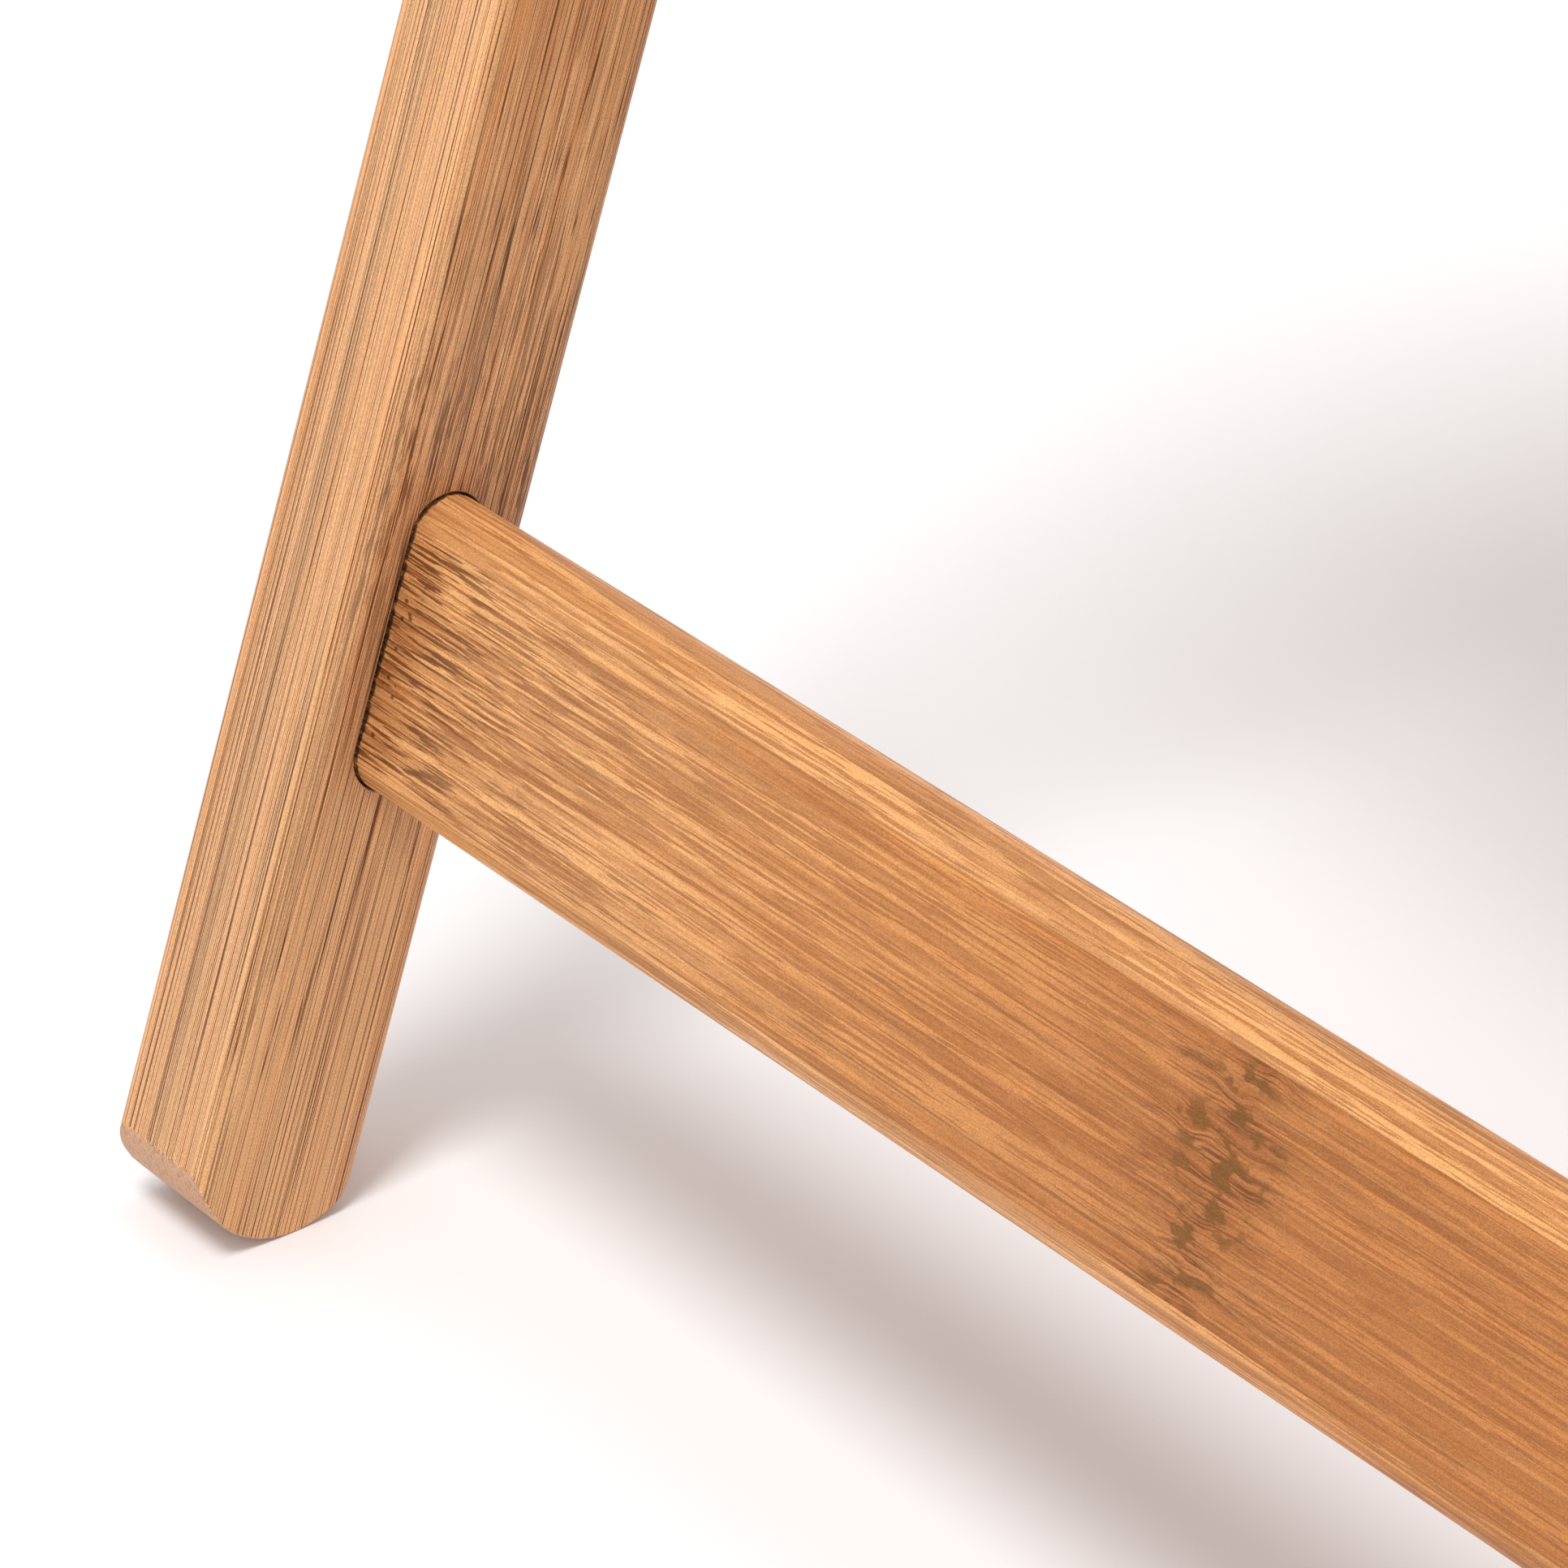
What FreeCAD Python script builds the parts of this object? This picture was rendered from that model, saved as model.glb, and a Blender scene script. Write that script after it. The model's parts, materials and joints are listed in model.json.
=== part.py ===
import FreeCAD, Part
import math
import os
import Sketcher

# Folding ladder shelf in laminated bamboo.
#
# A leaning front ladder frame and an upright rear frame are joined by two butt hinges at the top.
# Three slatted shelves turn on bolts through the front legs, and their rear ends rest on rails of
# the rear frame, hooked behind them by a lip.  Millimetres; X is the width, Y runs from front to
# back, Z is up; the origin is on the floor, at the centre of the floor area.

V = FreeCAD.Vector
X_AXIS = V(1, 0, 0)
Y_AXIS = V(0, 1, 0)
Z_AXIS = V(0, 0, 1)

doc = FreeCAD.newDocument("ladder_shelf")

# ---------------------------------------------------------------- driving dimensions

DIMENSIONS = [
    # alias, value, what it is
    ("outer_width", 500, "over the legs' outer faces"),
    ("lean", 18.9, "degrees that the front frame leans back"),
    ("hinge_height", 1040, "top hinge axis above the floor"),
    ("leg_width", 20, "leg section along X"),
    ("leg_depth", 26, "leg section from front to back"),
    ("leg_edge_radius", 3, "rounding of a leg's long edges"),
    ("foot_radius", 13.8, "round ends of the legs"),
    ("front_leg_rise", 7.3, "front leg's upper end centre beyond the hinge axis"),
    ("rear_leg_drop", 7, "rear leg's upper end centre below the hinge axis"),
    ("rail_thickness", 11, "rails and rungs, with full-round edges"),
    ("rail_height", 40, "top, bottom and rear rails"),
    ("rung_height", 30, "rungs of the front frame"),
    ("bottom_rail_rise", 63, "bottom rail's lower edge above the foot's end"),
    ("top_rail_drop", 15, "top rails' upper edge below the hinge axis"),
    ("rung_drop", 14, "rung's upper edge below the shelf pivot"),
    ("mortise_depth", 12, "slots in the legs that house the rails"),
    ("mortise_gap", 0.3, "round the rail and at its end"),
    ("mortise_breakthrough", 1, "rail screws' holes beyond the bottom of the slots"),
    ("shelf_height_1", 310, "pivot of the lowest shelf"),
    ("shelf_height_2", 640, "pivot of the middle shelf"),
    ("shelf_height_3", 885, "pivot of the top shelf"),
    ("bearer_thickness", 12, "shelf bearer along X"),
    ("bearer_height", 22, "shelf bearer, upright"),
    ("bearer_rest_gap", 0.4, "between a bearer and the rail that it rests on"),
    ("bearer_play", 0.2, "beside a bearer on its pivot bolt"),
    ("lip_depth", 10, "hook at a bearer's rear end"),
    ("lip_thickness", 6.5, "hook from front to back"),
    ("lip_gap", 0.5, "between the hook and the rail"),
    ("slat_width", 34, "from front to back"),
    ("slat_thickness", 10, "upright"),
    ("slat_side_gap", 1.5, "between the slat ends and the legs"),
    ("slat_overhang", 20, "front slat ahead of the pivot"),
    ("slat_edge_radius", 2, "rounding of a slat's long edges"),
    ("bolt_radius", 3, "shelf pivot bolt"),
    ("bolt_head_radius", 6.5, "low round head"),
    ("bolt_head_height", 3.2, "low round head"),
    ("bolt_fit", 0.05, "radial running fit of a bearer or nut on its bolt"),
    ("washer_radius", 7.5, "between leg and bearer"),
    ("washer_thickness", 1, "between leg and bearer"),
    ("nut_radius", 5.6, "cap nut over its corners"),
    ("nut_height", 6, "cap nut, with its closed end"),
    ("nut_cap", 2, "closed end of the cap nut"),
    ("rail_screw_radius", 2.5, "screws through the legs into the rail ends"),
    ("rail_screw_length", 34, "under the head"),
    ("rail_screw_head_radius", 4.5, "hex-socket head"),
    ("rail_screw_head_height", 3.4, "hex-socket head"),
    ("slat_screw_radius", 2, "screws up through the bearers into the slats"),
    ("slat_screw_length", 25, "under the head"),
    ("slat_screw_head_radius", 3.6, "pan head"),
    ("slat_screw_head_height", 2.4, "pan head"),
    ("slat_screw_setback", 9, "front slat's screws behind the pivot bolt"),
    ("slat_screw_hook_gap", 6, "rear slat's screws ahead of the hook"),
    ("slat_screw_cover", 2, "wood of the slat over its screws"),
    ("counterbore_depth", 4, "screw heads below the surface"),
    ("screw_clearance", 0.15, "radial, round screws and heads"),
    ("socket_radius", 1.9, "hex sockets over their corners"),
    ("socket_depth", 2, "hex sockets"),
    ("knuckle_radius", 3, "hinge barrel"),
    ("knuckle_play", 0.3, "between hinge barrel and leg, and between knuckles"),
    ("knuckle_width", 5.8, "three knuckles along the pin"),
    ("leaf_thickness", 1.5, "hinge leaf"),
    ("leaf_length", 42, "hinge leaf below the axis"),
    ("leaf_notch", 3.5, "hinge leaf cut back round the other leaf's barrel"),
    ("pin_radius", 1.5, "hinge pin"),
    ("pin_fit", 0.05, "radial running fit of the pin"),
    ("pin_head_height", 0.8, "rounded pin ends outside the barrel"),
    ("hinge_screw_radius", 1.5, "countersunk screws in the leaves"),
    ("hinge_screw_head_radius", 2.8, "countersunk head"),
    ("hinge_screw_length", 8, "with the head"),
    ("hinge_screw_high", 14, "upper screw below the axis"),
    ("hinge_screw_low", 33, "lower screw below the axis"),
    ("hinge_screw_stagger", 4, "hinge screws off the leaf's middle"),
]

sheet = doc.addObject("Spreadsheet::Sheet", "Dims")
for row, (alias, value, meaning) in enumerate(DIMENSIONS, start=1):
    sheet.set(f"A{row}", alias)
    sheet.set(f"B{row}", str(value))
    sheet.setAlias(f"B{row}", alias)
    sheet.set(f"C{row}", meaning)
doc.recompute()

# ---------------------------------------------------------------- layout worked out from them

SHELVES = (1, 2, 3)
SLAT_COUNTS = {1: 8, 2: 5, 3: 3}
SIDES = {"left": -1, "right": 1}

layout = doc.addObject("App::VarSet", "Layout")


def lay_out(name, expression):
    """Add a worked-out value to the layout, bound to the sheet and to earlier values."""
    layout.addProperty("App::PropertyFloat", name, "Layout")
    layout.setExpression(name, expression)
    layout.recompute()


# The leg faces end where they meet the round ends, this far from the end's centre.
lay_out("end_rise", "sqrt(Dims.foot_radius ^ 2 - (Dims.leg_depth / 2) ^ 2)")
lay_out("leg_x", "(Dims.outer_width - Dims.leg_width) / 2")
# Along the front leg, measured from its foot's centre, and behind the leg's axis.
lay_out("hinge_offset", "Dims.leg_depth / 2 + Dims.knuckle_radius + Dims.knuckle_play")
lay_out("hinge_along",
        "(Dims.hinge_height - Dims.foot_radius + .hinge_offset * sin(Dims.lean)) / cos(Dims.lean)")
# From the front foot's centre back to the hinge axis and to the rear legs' axis.
lay_out("hinge_back", ".hinge_along * sin(Dims.lean) + .hinge_offset * cos(Dims.lean)")
lay_out("rear_back", ".hinge_back + .hinge_offset")
lay_out("front_reach", "Dims.leg_depth / 2 * cos(Dims.lean) + .end_rise * sin(Dims.lean)")
lay_out("foot_y", "(.front_reach - .rear_back - Dims.leg_depth / 2) / 2")
lay_out("hinge_y", ".foot_y + .hinge_back")
lay_out("rear_y", ".foot_y + .rear_back")
# Rails end in the mortises, a gap short of the bottom.
lay_out("rail_length",
        "Dims.outer_width - 2 * (Dims.leg_width - Dims.mortise_depth + Dims.mortise_gap)")
lay_out("bottom_rail_low", "Dims.bottom_rail_rise - Dims.foot_radius")
lay_out("front_top_rail_low", ".hinge_along - Dims.top_rail_drop - Dims.rail_height")
lay_out("rear_top_rail_low",
        "Dims.hinge_height - Dims.foot_radius - Dims.top_rail_drop - Dims.rail_height")
# Bearers run on the pivot bolts just inside the washers.
lay_out("bearer_x", "Dims.outer_width / 2 - Dims.leg_width - Dims.washer_thickness"
                    " - Dims.bearer_play - Dims.bearer_thickness / 2")
lay_out("slat_length", "Dims.outer_width - 2 * (Dims.leg_width + Dims.slat_side_gap)")
for shelf in SHELVES:
    lay_out(f"pivot_along_{shelf}",
            f"(Dims.shelf_height_{shelf} - Dims.foot_radius) / cos(Dims.lean)")
    lay_out(f"pivot_y_{shelf}", f".foot_y + .pivot_along_{shelf} * sin(Dims.lean)")
    lay_out(f"rung_low_{shelf}", f".pivot_along_{shelf} - Dims.rung_drop - Dims.rung_height")
    lay_out(f"rear_rail_low_{shelf}",
            f"Dims.shelf_height_{shelf} - Dims.foot_radius - Dims.bearer_height / 2"
            " - Dims.bearer_rest_gap - Dims.rail_height")
    lay_out(f"lip_front_{shelf}",
            f".rear_y - .pivot_y_{shelf} + Dims.rail_thickness / 2 + Dims.lip_gap")
    lay_out(f"reach_{shelf}", f".lip_front_{shelf} + Dims.lip_thickness")
    lay_out(f"slat_pitch_{shelf}",
            f"(.reach_{shelf} + Dims.slat_overhang - Dims.slat_width) / {SLAT_COUNTS[shelf] - 1}")
doc.recompute()

# Rails of each frame: name, lower edge along the leg from the foot's centre, height.
FRONT_RAILS = [("front_bottom_rail", "Layout.bottom_rail_low", "Dims.rail_height")]
FRONT_RAILS += [(f"front_rung_{n}", f"Layout.rung_low_{n}", "Dims.rung_height")
                for n in SHELVES]
FRONT_RAILS += [("front_top_rail", "Layout.front_top_rail_low", "Dims.rail_height")]
REAR_RAILS = [("rear_bottom_rail", "Layout.bottom_rail_low", "Dims.rail_height")]
REAR_RAILS += [(f"rear_shelf_rail_{n}", f"Layout.rear_rail_low_{n}", "Dims.rail_height")
               for n in SHELVES]
REAR_RAILS += [("rear_top_rail", "Layout.rear_top_rail_low", "Dims.rail_height")]

# ---------------------------------------------------------------- helpers

sub_parts = []


def number(expression):
    """The number that an expression of the sheet and layout works out to."""
    result = sheet.evalExpression(expression)
    return float(getattr(result, "Value", result))


def sub_part(piece, label):
    """Name a finished piece, so that it is written as a file of its own."""
    piece.Label = label
    sub_parts.append(piece)
    return piece


def place(piece, x, y, z, lean="0"):
    """Bind a piece's position, and its lean about X in degrees (positive leans back)."""
    piece.Placement = FreeCAD.Placement(V(), FreeCAD.Rotation(X_AXIS, -1))
    piece.setExpression("Placement.Rotation.Angle", f"-({lean})")
    for axis, expression in zip("xyz", (x, y, z)):
        piece.setExpression(f"Placement.Base.{axis}", expression)


def place_on_front(piece, x, along, behind="0"):
    """Place a piece on the leaning front frame, by its distance along and behind the leg axis."""
    place(piece, x,
          f"Layout.foot_y + ({along}) * sin(Dims.lean) + ({behind}) * cos(Dims.lean)",
          f"Dims.foot_radius + ({along}) * cos(Dims.lean) - ({behind}) * sin(Dims.lean)",
          "Dims.lean")


def place_on_rear(piece, x, along, behind="0"):
    """Place a piece on the upright rear frame in the same way."""
    place(piece, x, f"Layout.rear_y + ({behind})", f"Dims.foot_radius + ({along})")


def new_sketch(body, plane, offset="0"):
    """A sketch on one of the body's own origin planes, moved along the plane's normal."""
    sketch = body.newObject("Sketcher::SketchObject", "Sketch")
    support = next(item for item in body.Origin.OriginFeatures if item.Role == plane)
    sketch.AttachmentSupport = [(support, "")]
    sketch.MapMode = "FlatFace"
    sketch.setExpression("AttachmentOffset.Base.z", offset)
    return sketch


def bind(sketch, kind, *args):
    """Add a dimension whose value is an expression, the last argument."""
    *elements, expression = args
    index = sketch.addConstraint(Sketcher.Constraint(kind, *elements, number(expression)))
    sketch.setExpression(f"Constraints[{index}]", expression)


def add_circle(sketch, across, up, radius):
    circle = sketch.addGeometry(Part.Circle(V(number(across), number(up)), Z_AXIS, number(radius)))
    bind(sketch, "DistanceX", -1, 1, circle, 3, across)
    bind(sketch, "DistanceY", -1, 1, circle, 3, up)
    bind(sketch, "Radius", circle, radius)


def add_rectangle(sketch, left, low, width, height):
    """Rectangle by its lower left corner."""
    x0, y0 = number(left), number(low)
    x1, y1 = x0 + number(width), y0 + number(height)
    corners = [V(x0, y0), V(x1, y0), V(x1, y1), V(x0, y1)]
    lines = [sketch.addGeometry(Part.LineSegment(corners[i], corners[(i + 1) % 4]))
             for i in range(4)]
    for i in range(4):
        sketch.addConstraint(Sketcher.Constraint("Coincident", lines[i], 2, lines[(i + 1) % 4], 1))
        sketch.addConstraint(Sketcher.Constraint("Vertical" if i % 2 else "Horizontal", lines[i]))
    bind(sketch, "DistanceX", -1, 1, lines[0], 1, left)
    bind(sketch, "DistanceY", -1, 1, lines[0], 1, low)
    bind(sketch, "DistanceX", lines[0], 1, lines[0], 2, width)
    bind(sketch, "DistanceY", lines[1], 1, lines[1], 2, height)


def add_slot(sketch, low, width, height):
    """Upright slot with half-round ends, centred on the sketch's upright axis."""
    radius = number(width) / 2
    low_centre = V(0, number(low) + radius)
    high_centre = V(0, number(low) + number(height) - radius)
    side = V(radius, 0)
    top = sketch.addGeometry(
        Part.ArcOfCircle(Part.Circle(high_centre, Z_AXIS, radius), 0, math.pi))
    left = sketch.addGeometry(Part.LineSegment(high_centre - side, low_centre - side))
    bottom = sketch.addGeometry(
        Part.ArcOfCircle(Part.Circle(low_centre, Z_AXIS, radius), math.pi, 2 * math.pi))
    right = sketch.addGeometry(Part.LineSegment(low_centre + side, high_centre + side))
    loop = [top, left, bottom, right]
    for i in range(4):
        sketch.addConstraint(Sketcher.Constraint("Tangent", loop[i], 2, loop[(i + 1) % 4], 1))
    sketch.addConstraint(Sketcher.Constraint("Equal", top, bottom))
    sketch.addConstraint(Sketcher.Constraint("PointOnObject", top, 3, -2))
    sketch.addConstraint(Sketcher.Constraint("PointOnObject", bottom, 3, -2))
    bind(sketch, "Radius", top, f"({width}) / 2")
    bind(sketch, "DistanceY", -1, 1, bottom, 3, f"({low}) + ({width}) / 2")
    bind(sketch, "DistanceY", bottom, 3, top, 3, f"({height}) - ({width})")


def pad(body, sketch, length):
    """Pad a sketch to both sides of its plane."""
    feature = body.newObject("PartDesign::Pad", "Pad")
    feature.Profile = sketch
    feature.Midplane = True
    feature.setExpression("Length", length)
    doc.recompute()
    return feature


def pocket(body, sketch, depth=None, along_normal=False):
    """Cut a sketch to a depth, or right through both ways, and check that it removes material."""
    before = body.Shape.Volume
    feature = body.newObject("PartDesign::Pocket", "Pocket")
    feature.Profile = sketch
    if depth is None:
        feature.Type = "ThroughAll"
        feature.Midplane = True
    else:
        feature.Reversed = along_normal
        feature.setExpression("Length", depth)
    doc.recompute()
    if body.Shape.Volume > before - 1:
        raise RuntimeError(f"{body.Label}: a pocket removes nothing")
    return feature


def straight_edges(feature, axis):
    """Names of the feature's straight edges that run along an axis."""
    names = []
    for index, edge in enumerate(feature.Shape.Edges, start=1):
        if edge.Curve.TypeId == "Part::GeomLine" and abs(edge.Curve.Direction.dot(axis)) > 0.999:
            names.append(f"Edge{index}")
    return names


def round_edges(body, feature, axis, radius):
    fillet = body.newObject("PartDesign::Fillet", "Fillet")
    fillet.Base = (feature, straight_edges(feature, axis))
    fillet.setExpression("Radius", radius)
    doc.recompute()
    return fillet


def solid(kind, **sizes):
    """A Part primitive whose sizes are bound to expressions."""
    primitive = doc.addObject(f"Part::{kind}", kind)
    for name, expression in sizes.items():
        primitive.setExpression(name, expression)
    return primitive


def shift(primitive, x="0", y="0", z="0", axis=None, angle=0):
    """Bind a primitive's position, after an optional fixed turn that lays it down."""
    if axis is not None:
        primitive.Placement = FreeCAD.Placement(V(), FreeCAD.Rotation(axis, angle))
    for name, expression in zip("xyz", (x, y, z)):
        primitive.setExpression(f"Placement.Base.{name}", expression)
    return primitive


def fuse(pieces):
    result = doc.addObject("Part::MultiFuse", "Fuse")
    result.Shapes = pieces
    result.Refine = True
    return result


def cut(base, tools):
    result = doc.addObject("Part::Cut", "Cut")
    result.Base = base
    result.Tool = tools[0] if len(tools) == 1 else fuse(tools)
    return result


def group(label, pattern, placements):
    """Identical fasteners in one sub-part: linked copies of a pattern piece.

    Each placement is x, y and z expressions and the turn that points the pattern's Z axis.
    """
    copies = []
    for x, y, z, turn in placements:
        copy = doc.addObject("App::Link", f"{label}_copy")
        copy.LinkedObject = pattern
        copy.Placement = FreeCAD.Placement(V(), turn)
        for axis, expression in zip("xyz", (x, y, z)):
            copy.setExpression(f"Placement.Base.{axis}", expression)
        copies.append(copy)
    compound = doc.addObject("Part::Compound", label)
    compound.Links = copies
    return sub_part(compound, label)


# ---------------------------------------------------------------- legs

def leg_profile(sketch, length):
    """Side view of a leg: parallel faces, and arcs centred on its axis at both ends."""
    depth, span = number("Dims.leg_depth / 2"), number(length)
    radius, rise = number("Dims.foot_radius"), number("Layout.end_rise")
    front_low, front_high = V(-depth, -rise), V(-depth, span + rise)
    back_low, back_high = V(depth, -rise), V(depth, span + rise)
    back = sketch.addGeometry(Part.LineSegment(back_low, back_high))
    top = sketch.addGeometry(Part.Arc(back_high, V(0, span + radius), front_high))
    front = sketch.addGeometry(Part.LineSegment(front_high, front_low))
    foot = sketch.addGeometry(Part.Arc(front_low, V(0, -radius), back_low))
    loop = [back, top, front, foot]
    for i in range(4):
        sketch.addConstraint(Sketcher.Constraint("Coincident", loop[i], 2, loop[(i + 1) % 4], 1))
    sketch.addConstraint(Sketcher.Constraint("Vertical", back))
    sketch.addConstraint(Sketcher.Constraint("Vertical", front))
    sketch.addConstraint(Sketcher.Constraint("Coincident", foot, 3, -1, 1))
    sketch.addConstraint(Sketcher.Constraint("PointOnObject", top, 3, -2))
    sketch.addConstraint(Sketcher.Constraint("Equal", top, foot))
    bind(sketch, "Radius", foot, "Dims.foot_radius")
    bind(sketch, "DistanceY", -1, 1, top, 3, length)
    bind(sketch, "DistanceX", -1, 1, back, 1, "Dims.leg_depth / 2")
    bind(sketch, "DistanceX", front, 2, -1, 1, "Dims.leg_depth / 2")


def make_leg(label, side, length, rails, pivots, hinge_along, hinge_face):
    """A leg in its own frame: Z along it from the foot's centre, X across the shelf.

    side is -1 for a left leg and 1 for a right leg; hinge_face is 1 when the hinge leaf lies on
    the leg's back face and -1 when it lies on its front face.
    """
    body = doc.addObject("PartDesign::Body", label)
    profile = new_sketch(body, "YZ_Plane")
    leg_profile(profile, length)
    stock = pad(body, profile, "Dims.leg_width")
    round_edges(body, stock, Z_AXIS, "Dims.leg_edge_radius")

    # Slots in the inner face house the rail ends.
    mortises = new_sketch(body, "YZ_Plane", f"{-side} * Dims.leg_width / 2")
    for name, low, height in rails:
        add_slot(mortises, f"{low} - Dims.mortise_gap", "Dims.rail_thickness + 2 * Dims.mortise_gap",
                 f"{height} + 2 * Dims.mortise_gap")
    pocket(body, mortises, "Dims.mortise_depth", along_normal=side > 0)

    # Counterbored screw holes run from the outer face into the middle of each slot.
    for radius, depth in (
        ("Dims.rail_screw_head_radius + Dims.screw_clearance", "Dims.counterbore_depth"),
        ("Dims.rail_screw_radius + Dims.screw_clearance",
         "Dims.leg_width - Dims.mortise_depth + Dims.mortise_breakthrough"),
    ):
        holes = new_sketch(body, "YZ_Plane", f"{side} * Dims.leg_width / 2")
        for name, low, height in rails:
            add_circle(holes, "0", f"{low} + {height} / 2", radius)
        pocket(body, holes, depth, along_normal=side < 0)

    if pivots:
        bores = new_sketch(body, "YZ_Plane")
        for along in pivots:
            add_circle(bores, "0", along, "Dims.bolt_radius + Dims.bolt_fit")
        pocket(body, bores)

    # Pilot holes for the hinge screws; the plane's normal points forwards.
    pilots = new_sketch(body, "XZ_Plane", f"{-hinge_face} * Dims.leg_depth / 2")
    for across, drop in hinge_screw_spots(side):
        add_circle(pilots, across, f"{hinge_along} - {drop}",
                   "Dims.hinge_screw_radius + Dims.screw_clearance")
    pocket(body, pilots, "Dims.hinge_screw_length - Dims.leaf_thickness + Dims.screw_clearance",
           along_normal=hinge_face > 0)
    return sub_part(body, label)


def hinge_screw_spots(side):
    """Hinge screws on a leaf: distance off its middle and below the hinge axis."""
    return [(f"{side} * Dims.hinge_screw_stagger", "Dims.hinge_screw_high"),
            (f"{-side} * Dims.hinge_screw_stagger", "Dims.hinge_screw_low")]


def make_legs():
    for name, side in SIDES.items():
        front = make_leg(f"front_leg_{name}", side, "Layout.hinge_along + Dims.front_leg_rise",
                         FRONT_RAILS, [f"Layout.pivot_along_{n}" for n in SHELVES],
                         "Layout.hinge_along", 1)
        place_on_front(front, f"{side} * Layout.leg_x", "0")
        rear_length = "Dims.hinge_height - Dims.foot_radius - Dims.rear_leg_drop"
        rear = make_leg(f"rear_leg_{name}", side, rear_length, REAR_RAILS, [],
                        "Dims.hinge_height - Dims.foot_radius", -1)
        place_on_rear(rear, f"{side} * Layout.leg_x", "0")


# ---------------------------------------------------------------- rails and rungs

def make_rail(label, height):
    """A flat bar with full-round edges, standing on its lower edge, with a screw hole in each end."""
    body = doc.addObject("PartDesign::Body", label)
    section = new_sketch(body, "YZ_Plane")
    add_slot(section, "0", "Dims.rail_thickness", height)
    pad(body, section, "Layout.rail_length")
    for end in (-1, 1):
        hole = new_sketch(body, "YZ_Plane", f"{end} * Layout.rail_length / 2")
        add_circle(hole, "0", f"{height} / 2", "Dims.rail_screw_radius + Dims.screw_clearance")
        pocket(body, hole, "Dims.rail_screw_length", along_normal=end < 0)
    return sub_part(body, label)


def make_rails():
    for name, low, height in FRONT_RAILS:
        place_on_front(make_rail(name, height), "0", low)
    for name, low, height in REAR_RAILS:
        place_on_rear(make_rail(name, height), "0", low)


# ---------------------------------------------------------------- shelves

def bearer_profile(sketch, shelf):
    """Side view of a bearer: half-round front end about the pivot, hook at the rear end."""
    half, lip = number("Dims.bearer_height / 2"), number("Dims.lip_depth")
    lip_front, reach = number(f"Layout.lip_front_{shelf}"), number(f"Layout.reach_{shelf}")
    corners = [V(0, -half), V(lip_front, -half), V(lip_front, -half - lip), V(reach, -half - lip),
               V(reach, half), V(0, half)]
    lines = [sketch.addGeometry(Part.LineSegment(a, b)) for a, b in zip(corners, corners[1:])]
    nose = sketch.addGeometry(Part.Arc(corners[-1], V(-half, 0), corners[0]))
    for a, b in zip(lines, lines[1:]):
        sketch.addConstraint(Sketcher.Constraint("Coincident", a, 2, b, 1))
    sketch.addConstraint(Sketcher.Constraint("Tangent", lines[-1], 2, nose, 1))
    sketch.addConstraint(Sketcher.Constraint("Tangent", nose, 2, lines[0], 1))
    sketch.addConstraint(Sketcher.Constraint("Coincident", nose, 3, -1, 1))
    for i, kind in enumerate(("Horizontal", "Vertical", "Horizontal", "Vertical", "Horizontal")):
        sketch.addConstraint(Sketcher.Constraint(kind, lines[i]))
    bind(sketch, "Radius", nose, "Dims.bearer_height / 2")
    bind(sketch, "DistanceX", -1, 1, lines[1], 1, f"Layout.lip_front_{shelf}")
    bind(sketch, "DistanceX", lines[2], 1, lines[2], 2, "Dims.lip_thickness")
    bind(sketch, "DistanceY", lines[1], 2, lines[1], 1, "Dims.lip_depth")


def slat_middles(shelf):
    """Distance of each slat's middle behind the shelf's pivot."""
    first = "Dims.slat_width / 2 - Dims.slat_overhang"
    return [f"{first} + {i} * Layout.slat_pitch_{shelf}" for i in range(SLAT_COUNTS[shelf])]


def screw_spots(shelf):
    """Distance of each slat's screws behind the pivot; the front slat's clear the pivot bolt."""
    last = f"Layout.lip_front_{shelf} - Dims.slat_screw_hook_gap"
    return ["Dims.slat_screw_setback"] + slat_middles(shelf)[1:-1] + [last]


def make_bearer(label, shelf):
    """A bearer in its own frame: the pivot is the origin, Y runs back along it."""
    body = doc.addObject("PartDesign::Body", label)
    profile = new_sketch(body, "YZ_Plane")
    bearer_profile(profile, shelf)
    pad(body, profile, "Dims.bearer_thickness")
    bore = new_sketch(body, "YZ_Plane")
    add_circle(bore, "0", "0", "Dims.bolt_radius + Dims.bolt_fit")
    pocket(body, bore)
    for radius, depth in (
        ("Dims.slat_screw_head_radius + Dims.screw_clearance", "Dims.counterbore_depth"),
        ("Dims.slat_screw_radius + Dims.screw_clearance", "Dims.bearer_height"),
    ):
        holes = new_sketch(body, "XY_Plane", "-Dims.bearer_height / 2")
        for behind in screw_spots(shelf):
            add_circle(holes, "0", behind, radius)
        pocket(body, holes, depth, along_normal=True)
    return sub_part(body, label)


def make_slat(label, screw_offset):
    """A slat lying on the bearers, with a blind screw hole over each bearer."""
    body = doc.addObject("PartDesign::Body", label)
    section = new_sketch(body, "YZ_Plane")
    add_rectangle(section, "-Dims.slat_width / 2", "0", "Dims.slat_width", "Dims.slat_thickness")
    bar = pad(body, section, "Layout.slat_length")
    round_edges(body, bar, X_AXIS, "Dims.slat_edge_radius")
    holes = new_sketch(body, "XY_Plane")
    for side in SIDES.values():
        add_circle(holes, f"{side} * Layout.bearer_x", screw_offset,
                   "Dims.slat_screw_radius + Dims.screw_clearance")
    pocket(body, holes, "Dims.slat_thickness - Dims.slat_screw_cover", along_normal=True)
    return sub_part(body, label)


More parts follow.
